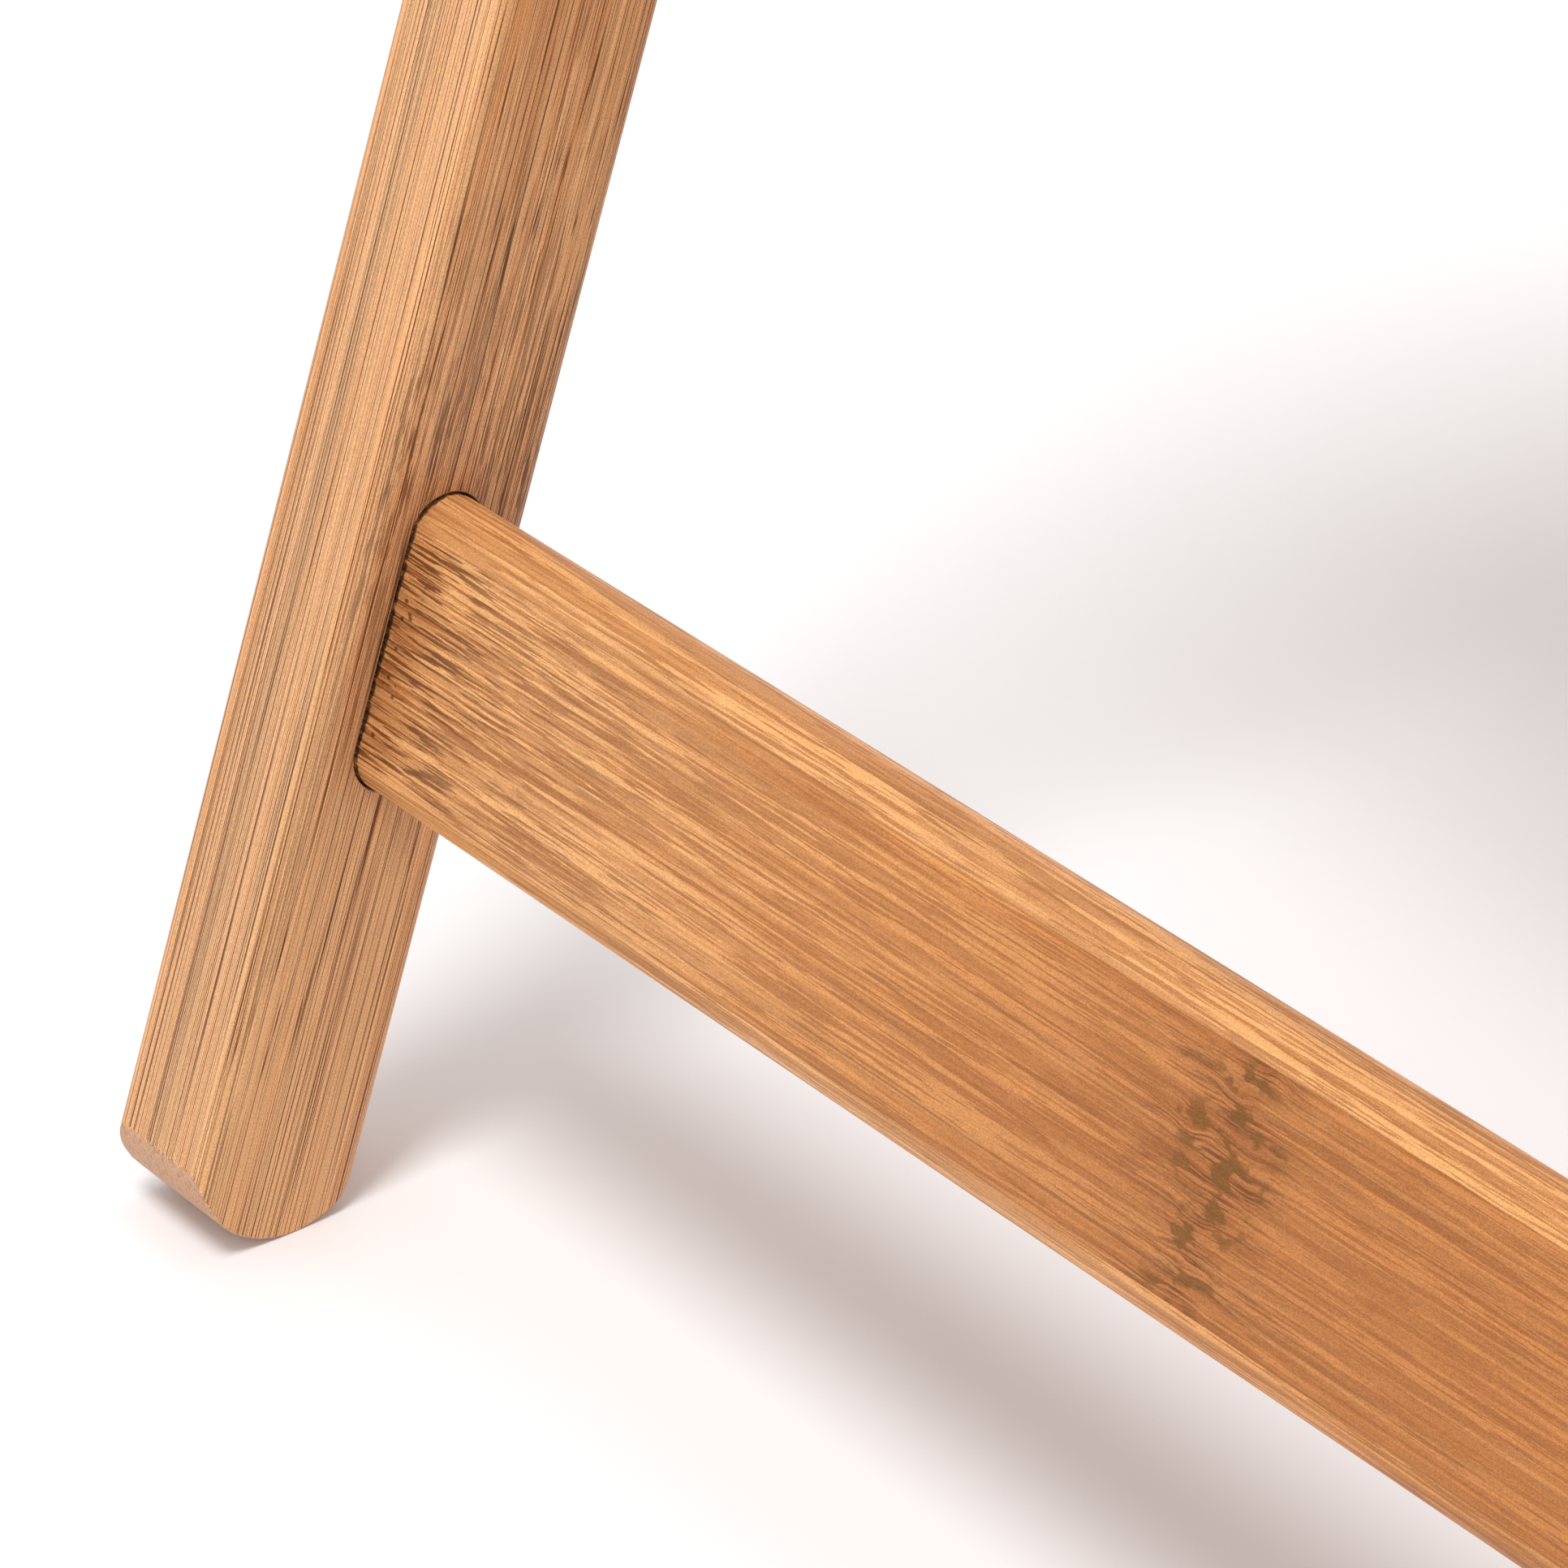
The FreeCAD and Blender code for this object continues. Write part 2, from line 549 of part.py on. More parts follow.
def make_shelf(shelf):
    pivot_y, pivot_z = f"Layout.pivot_y_{shelf}", f"Dims.shelf_height_{shelf}"
    for name, side in SIDES.items():
        bearer = make_bearer(f"shelf_{shelf}_bearer_{name}", shelf)
        place(bearer, f"{side} * Layout.bearer_x", pivot_y, pivot_z)
    for i, (middle, screw) in enumerate(zip(slat_middles(shelf), screw_spots(shelf)), start=1):
        slat = make_slat(f"shelf_{shelf}_slat_{i}", f"({screw}) - ({middle})")
        place(slat, "0", f"{pivot_y} + {middle}", f"{pivot_z} + Dims.bearer_height / 2")


# ---------------------------------------------------------------- hinges

def make_leaf(label, side, own_knuckles, face):
    """A hinge leaf in its own frame: the origin is on the hinge axis, X runs along the axis.

    side is -1 for the left hinge and 1 for the right, whose screws mirror each other; face is -1
    when the leaf's leg is in front of the axis and 1 when it is behind it.
    """
    width = "(3 * Dims.knuckle_width + 2 * Dims.knuckle_play)"
    pitch = "(Dims.knuckle_width + Dims.knuckle_play)"
    outer = "(Dims.knuckle_radius + Dims.knuckle_play)"
    plate_y = f"-{outer}" if face < 0 else f"{outer} - Dims.leaf_thickness"
    plate = shift(solid("Box", Length=width, Width="Dims.leaf_thickness",
                        Height="Dims.leaf_length - Dims.leaf_notch"),
                  f"-{width} / 2", plate_y, "-Dims.leaf_length")
    pieces = [plate]
    for index in own_knuckles:
        left = f"{index} * {pitch} - Dims.knuckle_width / 2"
        pieces.append(shift(solid("Box", Length="Dims.knuckle_width", Width="Dims.leaf_thickness",
                                  Height="Dims.leaf_notch"), left, plate_y, "-Dims.leaf_notch"))
        pieces.append(shift(solid("Cylinder", Radius="Dims.knuckle_radius",
                                  Height="Dims.knuckle_width"), left, axis=Y_AXIS, angle=90))
    bore = shift(solid("Cylinder", Radius="Dims.pin_radius + Dims.pin_fit", Height=width),
                 f"-{width} / 2", axis=Y_AXIS, angle=90)
    # Countersinks open towards the axis; the screws run away from it into the leg.
    tools = [bore]
    lie = 90 if face < 0 else -90
    for across, drop in hinge_screw_spots(side):
        tools.append(shift(solid("Cone", Radius1="Dims.hinge_screw_head_radius + Dims.screw_clearance",
                                 Radius2="Dims.hinge_screw_radius + Dims.screw_clearance",
                                 Height="Dims.leaf_thickness"),
                           across, f"{face} * ({outer} - Dims.leaf_thickness)", f"-{drop}",
                           X_AXIS, lie))
    return sub_part(cut(fuse(pieces), tools), label)


def make_pin(label):
    """Hinge pin along X, with rounded ends just outside the barrel."""
    length = "(3 * Dims.knuckle_width + 2 * Dims.knuckle_play)"
    shaft = shift(solid("Cylinder", Radius="Dims.pin_radius", Height=length),
                  f"-{length} / 2", axis=Y_AXIS, angle=90)
    ends = []
    for end in (-1, 1):
        ends.append(shift(solid("Cone", Radius1="Dims.knuckle_radius - Dims.pin_fit",
                                Radius2="Dims.pin_radius", Height="Dims.pin_head_height"),
                          f"{end} * {length} / 2", axis=Y_AXIS, angle=90 * end))
    return sub_part(fuse([shaft] + ends), label)


def make_hinges():
    for name, side in SIDES.items():
        front = make_leaf(f"hinge_front_leaf_{name}", side, (-1, 1), -1)
        place_on_front(front, f"{side} * Layout.leg_x", "Layout.hinge_along", "Layout.hinge_offset")
        rear = make_leaf(f"hinge_rear_leaf_{name}", side, (0,), 1)
        place_on_rear(rear, f"{side} * Layout.leg_x", "Dims.hinge_height - Dims.foot_radius",
                      "-Layout.hinge_offset")
        pin = make_pin(f"hinge_pin_{name}")
        place(pin, f"{side} * Layout.leg_x", "Layout.hinge_y", "Dims.hinge_height")


# ---------------------------------------------------------------- fasteners

def socket_screw(radius, length, head_radius, head_height):
    """Screw pointing along +Z from the underside of its head, with a hex socket in the head."""
    shank = solid("Cylinder", Radius=radius, Height=length)
    head = shift(solid("Cylinder", Radius=head_radius, Height=head_height), z=f"-({head_height})")
    socket = solid("Prism", Circumradius="Dims.socket_radius", Height="Dims.socket_depth")
    return cut(fuse([shank, head]), [shift(socket, z=f"-({head_height})")])


def make_rail_screws():
    pattern = socket_screw("Dims.rail_screw_radius", "Dims.rail_screw_length",
                           "Dims.rail_screw_head_radius", "Dims.rail_screw_head_height")
    for frame, rails, lean in (("front", FRONT_RAILS, "Dims.lean"), ("rear", REAR_RAILS, "0")):
        placements = []
        for side in SIDES.values():
            inwards = FreeCAD.Rotation(Y_AXIS, -90 * side)
            for name, low, height in rails:
                placements.append((f"{side} * (Dims.outer_width / 2 - Dims.counterbore_depth)", "0",
                                   f"{low} + {height} / 2", inwards))
        screws = group(f"{frame}_rail_screws", pattern, placements)
        if frame == "front":
            place_on_front(screws, "0", "0")
        else:
            place_on_rear(screws, "0", "0")


def make_hinge_screws():
    shank = solid("Cylinder", Radius="Dims.hinge_screw_radius", Height="Dims.hinge_screw_length")
    head = solid("Cone", Radius1="Dims.hinge_screw_head_radius", Radius2="Dims.hinge_screw_radius",
                 Height="Dims.leaf_thickness")
    pattern = fuse([shank, head])
    seat = "(Layout.hinge_offset - Dims.knuckle_radius - Dims.knuckle_play + Dims.leaf_thickness)"
    for frame, face, hinge in (("front", -1, "Layout.hinge_along"),
                               ("rear", 1, "Dims.hinge_height - Dims.foot_radius")):
        into_leg = FreeCAD.Rotation(X_AXIS, 90 if face < 0 else -90)
        placements = [(f"{side} * Layout.leg_x + {across}", f"{-face} * {seat}",
                       f"{hinge} - {drop}", into_leg)
                      for side in SIDES.values() for across, drop in hinge_screw_spots(side)]
        screws = group(f"{frame}_hinge_screws", pattern, placements)
        if frame == "front":
            place_on_front(screws, "0", "0")
        else:
            place_on_rear(screws, "0", "0")


def make_slat_screws():
    pattern = socket_screw("Dims.slat_screw_radius", "Dims.slat_screw_length",
                           "Dims.slat_screw_head_radius", "Dims.slat_screw_head_height")
    for shelf in SHELVES:
        placements = [(f"{side} * Layout.bearer_x", spot,
                       "Dims.counterbore_depth - Dims.bearer_height / 2", FreeCAD.Rotation())
                      for side in SIDES.values() for spot in screw_spots(shelf)]
        screws = group(f"shelf_{shelf}_slat_screws", pattern, placements)
        place(screws, "0", f"Layout.pivot_y_{shelf}", f"Dims.shelf_height_{shelf}")


def make_pivot_fasteners():
    """Bolt, washer and cap nut at each shelf pivot, all held by the front legs."""
    inner = "(Layout.bearer_x - Dims.bearer_thickness / 2 - Dims.bearer_play)"
    grip = f"(Dims.outer_width / 2 - {inner})"
    thread = "(Dims.nut_height - Dims.nut_cap)"
    bolt = socket_screw("Dims.bolt_radius", f"{grip} + {thread}",
                        "Dims.bolt_head_radius", "Dims.bolt_head_height")
    washer = cut(solid("Cylinder", Radius="Dims.washer_radius", Height="Dims.washer_thickness"),
                 [solid("Cylinder", Radius="Dims.bolt_radius + Dims.bolt_fit",
                        Height="Dims.washer_thickness")])
    nut = cut(solid("Prism", Circumradius="Dims.nut_radius", Height="Dims.nut_height"),
              [solid("Cylinder", Radius="Dims.bolt_radius + Dims.bolt_fit", Height=thread)])
    for label, pattern, distance in (
        ("pivot_bolts", bolt, "Dims.outer_width / 2"),
        ("pivot_washers", washer, "(Dims.outer_width / 2 - Dims.leg_width)"),
        ("pivot_nuts", nut, inner),
    ):
        placements = [(f"{side} * {distance}", "0", f"Layout.pivot_along_{shelf}",
                       FreeCAD.Rotation(Y_AXIS, -90 * side))
                      for side in SIDES.values() for shelf in SHELVES]
        place_on_front(group(label, pattern, placements), "0", "0")


# ---------------------------------------------------------------- build, check and write

def check(piece):
    """Stop if a sub-part is missing, broken or failed to rebuild."""
    if piece.Shape.isNull() or not piece.Shape.isValid() or not piece.Shape.Solids:
        raise RuntimeError(f"{piece.Label}: no valid solid")


make_legs()
make_rails()
for shelf in SHELVES:
    make_shelf(shelf)
make_hinges()
make_rail_screws()
make_hinge_screws()
make_slat_screws()
make_pivot_fasteners()
doc.recompute()

failed = [item.Label for item in doc.Objects if {"Invalid", "Error"} & set(item.State)]
if failed:
    raise RuntimeError("failed to rebuild: " + ", ".join(failed))
for piece in sub_parts:
    check(piece)

os.makedirs("parts", exist_ok=True)
for piece in sub_parts:
    piece.Shape.exportStep(os.path.join("parts", piece.Label + ".step"))
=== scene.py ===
import json
import math
import random

import bmesh
import bpy
from mathutils import Matrix, Vector


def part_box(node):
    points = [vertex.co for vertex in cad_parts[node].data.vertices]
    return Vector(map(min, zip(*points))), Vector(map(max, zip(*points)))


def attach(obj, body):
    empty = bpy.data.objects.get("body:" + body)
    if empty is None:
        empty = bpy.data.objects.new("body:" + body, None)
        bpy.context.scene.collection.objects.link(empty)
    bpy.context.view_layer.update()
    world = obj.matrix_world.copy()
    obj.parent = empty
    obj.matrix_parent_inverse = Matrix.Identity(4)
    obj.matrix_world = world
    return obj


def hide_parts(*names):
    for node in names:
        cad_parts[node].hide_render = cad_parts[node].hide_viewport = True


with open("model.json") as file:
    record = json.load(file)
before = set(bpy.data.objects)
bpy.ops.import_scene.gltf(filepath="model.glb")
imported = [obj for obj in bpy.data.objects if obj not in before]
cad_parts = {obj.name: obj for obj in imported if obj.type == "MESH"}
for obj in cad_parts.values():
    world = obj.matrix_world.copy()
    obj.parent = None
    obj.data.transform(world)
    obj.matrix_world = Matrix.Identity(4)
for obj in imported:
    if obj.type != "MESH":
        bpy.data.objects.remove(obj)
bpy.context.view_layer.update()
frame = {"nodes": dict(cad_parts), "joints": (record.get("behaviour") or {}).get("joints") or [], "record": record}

# A folding ladder shelf in laminated bamboo, with zinc-plated steel fittings.
# Every bamboo piece is a refined copy of its CAD node: faces cleaned, edges eased, and its grain
# stored in attributes that the bamboo material reads.  The steel fittings are the CAD nodes.
# Metres, except in the grain, which is in millimetres.

nodes = frame["nodes"]
joints = {joint["name"]: joint for joint in frame["joints"]}
slots = {part["node"]: part["material_slot"] for part in frame["record"]["subparts"]}

LEAN = math.radians(joints["frame_fold"]["range_deg"][1])
UPRIGHT = Matrix.Identity(3)
LEANING = Matrix.Rotation(-LEAN, 3, "X")

MM = 1000.0
EASED_EDGE = 0.00025
SHARP_ANGLE = math.radians(28)
FLAT_ANGLE = math.radians(0.3)
WELD = 1e-6
FOOT_RADIUS = 0.0138


# ---------------------------------------------------------------- shader graph helper

class Graph:
    """A material's node tree, written as expressions: each call returns an output socket."""

    def __init__(self, name):
        self.material = bpy.data.materials.new(name)
        self.material.use_nodes = True
        self.tree = self.material.node_tree
        self.tree.nodes.clear()

    def add(self, kind, settings=None, **inputs):
        node = self.tree.nodes.new(kind)
        for key, value in (settings or {}).items():
            setattr(node, key, value)
        for key, value in inputs.items():
            self.feed(node.inputs[key.replace("_", " ")], value)
        return node

    def feed(self, socket, value):
        if isinstance(value, bpy.types.NodeSocket):
            self.tree.links.new(value, socket)
        else:
            socket.default_value = value

    def math(self, operation, *values, clamp=False):
        node = self.add("ShaderNodeMath", {"operation": operation, "use_clamp": clamp})
        for socket, value in zip(node.inputs, values):
            self.feed(socket, value)
        return node.outputs[0]

    def chain(self, operation, values, clamp=False):
        """One value after another joined by the same operation; the last result may be clamped."""
        result, *others = values
        last = len(others) - 1
        for count, value in enumerate(others):
            result = self.math(operation, result, value, clamp=clamp and count == last)
        return result

    def plus(self, *values, clamp=False):
        return self.chain("ADD", values, clamp)

    def times(self, *values):
        return self.chain("MULTIPLY", values)

    def highest(self, *values, clamp=False):
        return self.chain("MAXIMUM", values, clamp)

    def lowest(self, *values):
        return self.chain("MINIMUM", values)

    def minus(self, first, second):
        return self.math("SUBTRACT", first, second)

    def over(self, first, second):
        return self.math("DIVIDE", first, second)

    def absolute(self, value):
        return self.math("ABSOLUTE", value)

    def distance(self, first, second):
        return self.absolute(self.minus(first, second))

    def vector_math(self, operation, *values, output=0):
        node = self.add("ShaderNodeVectorMath", {"operation": operation})
        for socket, value in zip(node.inputs, values):
            self.feed(socket, value)
        return node.outputs[output]

    def dot(self, first, second):
        return self.vector_math("DOT_PRODUCT", first, second, output=1)

    def attribute(self, name):
        return self.add("ShaderNodeAttribute", {"attribute_name": name}).outputs["Vector"]

    def split(self, vector):
        return tuple(self.add("ShaderNodeSeparateXYZ", Vector=vector).outputs)

    def join(self, x, y, z):
        return self.add("ShaderNodeCombineXYZ", X=x, Y=y, Z=z).outputs[0]

    def noise(self, vector, detail=2.0, roughness=0.5):
        """Noise about 0.5 with one feature per unit of the given coordinates."""
        node = self.add("ShaderNodeTexNoise", Vector=vector, Scale=1.0, Detail=detail,
                        Roughness=roughness)
        return node.outputs[0]

    def cells(self, vector):
        """Distance to the nearest of scattered points, and a random colour for each."""
        node = self.add("ShaderNodeTexVoronoi", {"feature": "F1"}, Vector=vector, Scale=1.0)
        return node.outputs["Distance"], node.outputs["Color"]

    def ramp(self, value, low, high, out_low=0.0, out_high=1.0):
        """Smooth step from low to high."""
        node = self.add("ShaderNodeMapRange", {"interpolation_type": "SMOOTHSTEP"}, Value=value,
                        From_Min=low, From_Max=high, To_Min=out_low, To_Max=out_high)
        return node.outputs[0]

    def fade(self, value, low, high):
        """1 up to low, 0 from high."""
        return self.ramp(value, low, high, 1.0, 0.0)

    def mix(self, factor, first, second):
        """Number between two numbers."""
        node = self.add("ShaderNodeMix", {"data_type": "FLOAT"}, Factor=factor, A=first, B=second)
        return node.outputs[0]

    def blend(self, factor, first, second, mode="MIX"):
        """Colour between two colours."""
        node = self.add("ShaderNodeMix", {"data_type": "RGBA", "blend_type": mode})
        self.feed(node.inputs["Factor"], factor)
        colours = [item for item in node.inputs if item.type == "RGBA"]
        for socket, value in zip(colours, (first, second)):
            self.feed(socket, value if isinstance(value, bpy.types.NodeSocket) else (*value, 1.0))
        return next(item for item in node.outputs if item.type == "RGBA")

    def shade(self, constants, **inputs):
        """End in a Principled shader, with linked inputs and with constants on its own sockets."""
        shader = self.add("ShaderNodeBsdfPrincipled", **inputs)
        for key, value in constants.items():
            shader.inputs[key].default_value = value
        self.add("ShaderNodeOutputMaterial", Surface=shader.outputs[0])


# ---------------------------------------------------------------- bamboo

# Colours are linear.
PALE = (0.70, 0.385, 0.185)
HONEY = (0.60, 0.285, 0.108)
AMBER = (0.455, 0.195, 0.070)
OLIVE = (0.49, 0.305, 0.150)
STREAK = (0.31, 0.096, 0.023)
LINE = (0.145, 0.048, 0.015)
KNOT = (0.205, 0.078, 0.012)
# The colour of open pores, also used for the painted shade in the joint gaps.
PIT_AND_GAP_SHADE = (0.030, 0.013, 0.006)
END_GRAIN = (0.60, 0.350, 0.225)

# Millimetres.
SEAM_WANDER = 2.0
SEAM_WIDTH = 0.2
NODE_RAGGEDNESS = 26.0
FIRST_NODE_TAIL = 22.0
LATER_NODE_TAIL = 5.0
NODE_CURL = 3.0
TONE_CHANGE = 200.0


class Bamboo(Graph):
    """Laminated bamboo.

    Reads these attributes of the piece: grain, millimetres along, across and through it; seed, a
    random offset; knots, the places of its nodes along it; tones and tones_beyond, how dark each
    of its laminations is before and after the first node; lags, how far each lamination's nodes
    are shifted; marks, how much each lamination's nodes show; and along, the fibre direction.

    strip is the width of a lamination and offset where the middle one begins, in millimetres.
    stripes, streaks and dashes are (length, width, strength) of the soft stripes, the fibre
    bundles and the short marks by a node; lines is (spacing, strength) of the hair lines. knots
    and olive are the strengths of the nodes and of the greenish patches. shoulder is how far from
    its middle the piece enters its joints, where a dark line of painted shade stands for the gap.
    """

    def __init__(self, name, strip, offset, stripes, streaks, dashes, lines, knots, olive, tint,
                 shoulder=None):
        super().__init__(name)
        self.u, self.v, self.w = self.split(self.attribute("grain"))
        self.seed = self.split(self.attribute("seed"))
        self.find_laminations(strip, offset)
        self.find_nodes()
        self.colour = self.ground(olive, tint)
        self.add_fibres(stripes, streaks, dashes)
        self.add_hair_lines(*lines)
        self.add_nodes(knots)
        # A dark line of painted shade in the gaps where the piece enters its joints.
        if shoulder:
            self.add_painted_gap_shade(shoulder)
        self.add_end_grain()
        self.add_surface()

    def at(self, along, across, bend=0.0):
        """Coordinates with features of the given sizes in millimetres."""
        u, v, w = (self.plus(place, shift) for place, shift in zip((self.u, self.v, self.w), self.seed))
        return self.vector_math("DIVIDE", self.join(u, self.plus(v, bend), w), (along, across, across))

    def layer(self, along, across, low, high, bend=0.0, detail=2.0):
        """Patches of the given sizes: 0 where their noise is under low, 1 where it is over high."""
        return self.ramp(self.noise(self.at(along, across, bend), detail, 0.55), low, high)

    def swing(self, along, across, detail=2.0):
        """Noise about zero, with features of the given sizes."""
        return self.minus(self.noise(self.at(along, across), detail), 0.5)

    def paint(self, factor, colour):
        self.colour = self.blend(factor, self.colour, colour)

    def of_lamination(self, attribute):
        return self.dot(self.mask, self.attribute(attribute))

    def find_laminations(self, strip, offset):
        """Three at most, each with its own tone and its own nodes."""
        self.wander = self.times(self.swing(150, 60), SEAM_WANDER)
        place = self.over(self.plus(self.v, self.wander, offset), strip)
        is_first = self.math("LESS_THAN", place, 0.0)
        is_last = self.math("GREATER_THAN", place, 1.0)
        is_middle = self.minus(1.0, self.plus(is_first, is_last))
        self.mask = self.join(is_first, is_middle, is_last)
        to_seam = self.distance(self.math("FRACT", place), 0.5)
        self.seam = self.ramp(to_seam, 0.5 - SEAM_WIDTH / strip, 0.5)

    def find_nodes(self):
        """The culm's nodes: a ragged band each, and darker fibres fading away from it."""
        first, second, third = self.split(self.attribute("knots"))
        ragged = self.times(self.swing(14, 5, 3.0), NODE_RAGGEDNESS)
        here = self.minus(self.u, self.of_lamination("lags"))
        self.past_first = self.minus(self.plus(here, self.times(ragged, 0.2)), first)
        self.to_first = self.absolute(self.past_first)
        here = self.plus(here, ragged)
        to_later = self.lowest(self.distance(here, second), self.distance(here, third))
        self.shown = self.of_lamination("marks")
        nearest = self.lowest(self.to_first, to_later)
        self.band = self.times(self.fade(nearest, 2.0, 12.0), self.shown)
        self.later_band = self.times(self.fade(to_later, 2.0, 9.0), self.shown)
        halvings = self.lowest(self.over(self.to_first, FIRST_NODE_TAIL),
                               self.over(to_later, LATER_NODE_TAIL))
        self.tail = self.times(self.math("POWER", 0.5, halvings), self.shown)
        self.bend = self.times(self.later_band, self.swing(9, 5), NODE_CURL)

    def ground(self, olive, tint):
        """Ground colour, from pale to amber by the lamination's tone."""
        beyond = self.ramp(self.past_first, 0.0, TONE_CHANGE)
        tone = self.mix(beyond, self.of_lamination("tones"), self.of_lamination("tones_beyond"))
        tone = self.plus(tone, self.swing(160, 2.0), clamp=True)
        colour = self.blend(self.ramp(tone, 0.0, 0.55), PALE, HONEY)
        colour = self.blend(self.ramp(tone, 0.35, 1.0), colour, AMBER)
        colour = self.blend(self.times(self.layer(220, 3.5, 0.48, 0.58), olive), colour, OLIVE)
        return self.blend(1.0, colour, tint, "MULTIPLY")

    def add_fibres(self, stripes, streaks, dashes):
        """Soft stripes, lens-shaped bundles, and short marks near the nodes."""
        length, width, strength = stripes
        soft = self.times(self.layer(length, width, 0.47, 0.56, self.bend), strength)
        length, width, strength = streaks
        by_tail = self.times(self.plus(0.8, self.times(self.tail, 0.25)), strength)
        bundles = self.times(self.layer(length, width, 0.53, 0.59, self.bend, 3.0), by_tail)
        slivers = self.times(self.layer(length * 0.5, width * 0.55, 0.55, 0.61, self.bend), by_tail)
        self.dark = self.highest(soft, bundles, slivers)
        self.paint(self.lowest(self.dark, 1.0), STREAK)
        length, width, strength = dashes
        self.marks = self.times(self.layer(length, width, 0.53, 0.58, self.bend), self.tail, strength)

    def add_hair_lines(self, spacing, strength):
        """Long hair lines in loose groups, with the short marks and the seams."""
        contour = self.distance(self.noise(self.at(260, spacing, self.wander), 1.5), 0.5)
        group = self.plus(0.6, self.times(self.layer(70, spacing * 3.0, 0.44, 0.56), 0.4))
        hair = self.times(self.fade(contour, 0.014, 0.050), group, strength)
        self.thin = self.highest(self.marks, hair, self.times(self.seam, 0.35), clamp=True)
        self.paint(self.thin, LINE)

    def add_nodes(self, strength):
        """Darker wood at every node, soft blotches at the later ones, open pores at the first."""
        self.paint(self.times(self.band, strength * 0.45), STREAK)
        blotches = self.layer(3.6, 2.2, 0.50, 0.60, self.bend)
        self.paint(self.times(blotches, self.later_band, min(1.0, strength * 1.3)), KNOT)
        to_pit, pit_colour = self.cells(self.at(1.7, 1.3, self.bend))
        pit_chance = self.ramp(self.split(pit_colour)[0], 0.45, 0.5)
        by_first = self.times(self.fade(self.to_first, 3.5, 6.5), self.shown, strength)
        self.pits = self.times(self.fade(to_pit, 0.16, 0.30), pit_chance, by_first)
        self.paint(self.pits, PIT_AND_GAP_SHADE)

    def add_painted_gap_shade(self, shoulder):
        """Painted shade: a dark line standing for the shadow in the gap where the piece enters its joints."""
        to_joint = self.distance(self.absolute(self.u), shoulder)
        reach = self.plus(to_joint, self.times(self.noise(self.at(0.9, 0.9), 1.0), 1.1))
        self.paint(self.ramp(reach, 0.65, 1.0, 0.9, 0.0), PIT_AND_GAP_SHADE)

    def add_end_grain(self):
        """Dotted wood where the surface faces along the fibres."""
        normal = self.add("ShaderNodeTexCoord").outputs["Normal"]
        facing = self.absolute(self.dot(normal, self.attribute("along")))
        self.end = self.ramp(facing, 0.20, 0.40)
        to_dot, _ = self.cells(self.at(400, 0.7))
        colour = self.blend(self.ramp(to_dot, 0.18, 0.42, 0.45, 0.0), END_GRAIN, STREAK)
        self.paint(self.times(self.end, 0.9), colour)

    def add_surface(self):
        """Speckle, and a satin surface with shallow grooves along the fibres."""
        speck = self.noise(self.at(0.26, 0.13), 1.0)
        speckle = self.ramp(speck, 0.25, 0.75, 0.80, 1.20)
        colour = self.blend(1.0, self.colour, self.join(speckle, speckle, speckle), "MULTIPLY")
        rough = self.plus(0.42, self.times(self.dark, 0.15), self.times(self.end, 0.2),
                          self.times(self.minus(speck, 0.5), 0.12))
        height = self.plus(self.times(self.thin, -0.8), self.times(self.dark, -0.35),
                           self.times(speck, 0.3), self.times(self.pits, -1.5))
        bump = self.add("ShaderNodeBump", Strength=0.5, Distance=0.00012, Height=height)
        self.shade({"IOR": 1.48, "Specular IOR Level": 0.24}, Base_Color=colour, Roughness=rough,
                   Normal=bump.outputs[0])


# ---------------------------------------------------------------- steel

POLISHED = (0.68, 0.675, 0.66)
MOTTLED = (0.57, 0.56, 0.54)
SCRATCHED = (0.42, 0.41, 0.39)


class Steel(Graph):
    """Zinc-plated steel: mottled plating, fine scratches, and duller patches."""

    def __init__(self, name):
        super().__init__(name)
        place = self.add("ShaderNodeTexCoord").outputs["Object"]
        mottle = self.noise(self.vector_math("MULTIPLY", place, (420.0, 420.0, 420.0)), 4.0, 0.6)
        scratch = self.noise(self.vector_math("MULTIPLY", place, (1200.0, 1200.0, 6000.0)))
        colour = self.blend(self.ramp(mottle, 0.30, 0.70), MOTTLED, POLISHED)
        colour = self.blend(self.ramp(scratch, 0.6, 0.75, 0.0, 0.30), colour, SCRATCHED)
        rough = self.plus(0.24, self.times(mottle, 0.16))
        bump = self.add("ShaderNodeBump", Strength=0.2, Distance=0.00003, Height=scratch)
        self.shade({"Metallic": 1.0}, Base_Color=colour, Roughness=rough, Normal=bump.outputs[0])


# ---------------------------------------------------------------- pieces

def local_box(node, turn):
    """Lowest and highest corner of a node in a frame that is turned against the object's."""
    back = turn.inverted()
    corners = [back @ vertex.co for vertex in nodes[node].data.vertices]
    low = Vector(min(corner[axis] for corner in corners) for axis in range(3))
    high = Vector(max(corner[axis] for corner in corners) for axis in range(3))
    return low, high


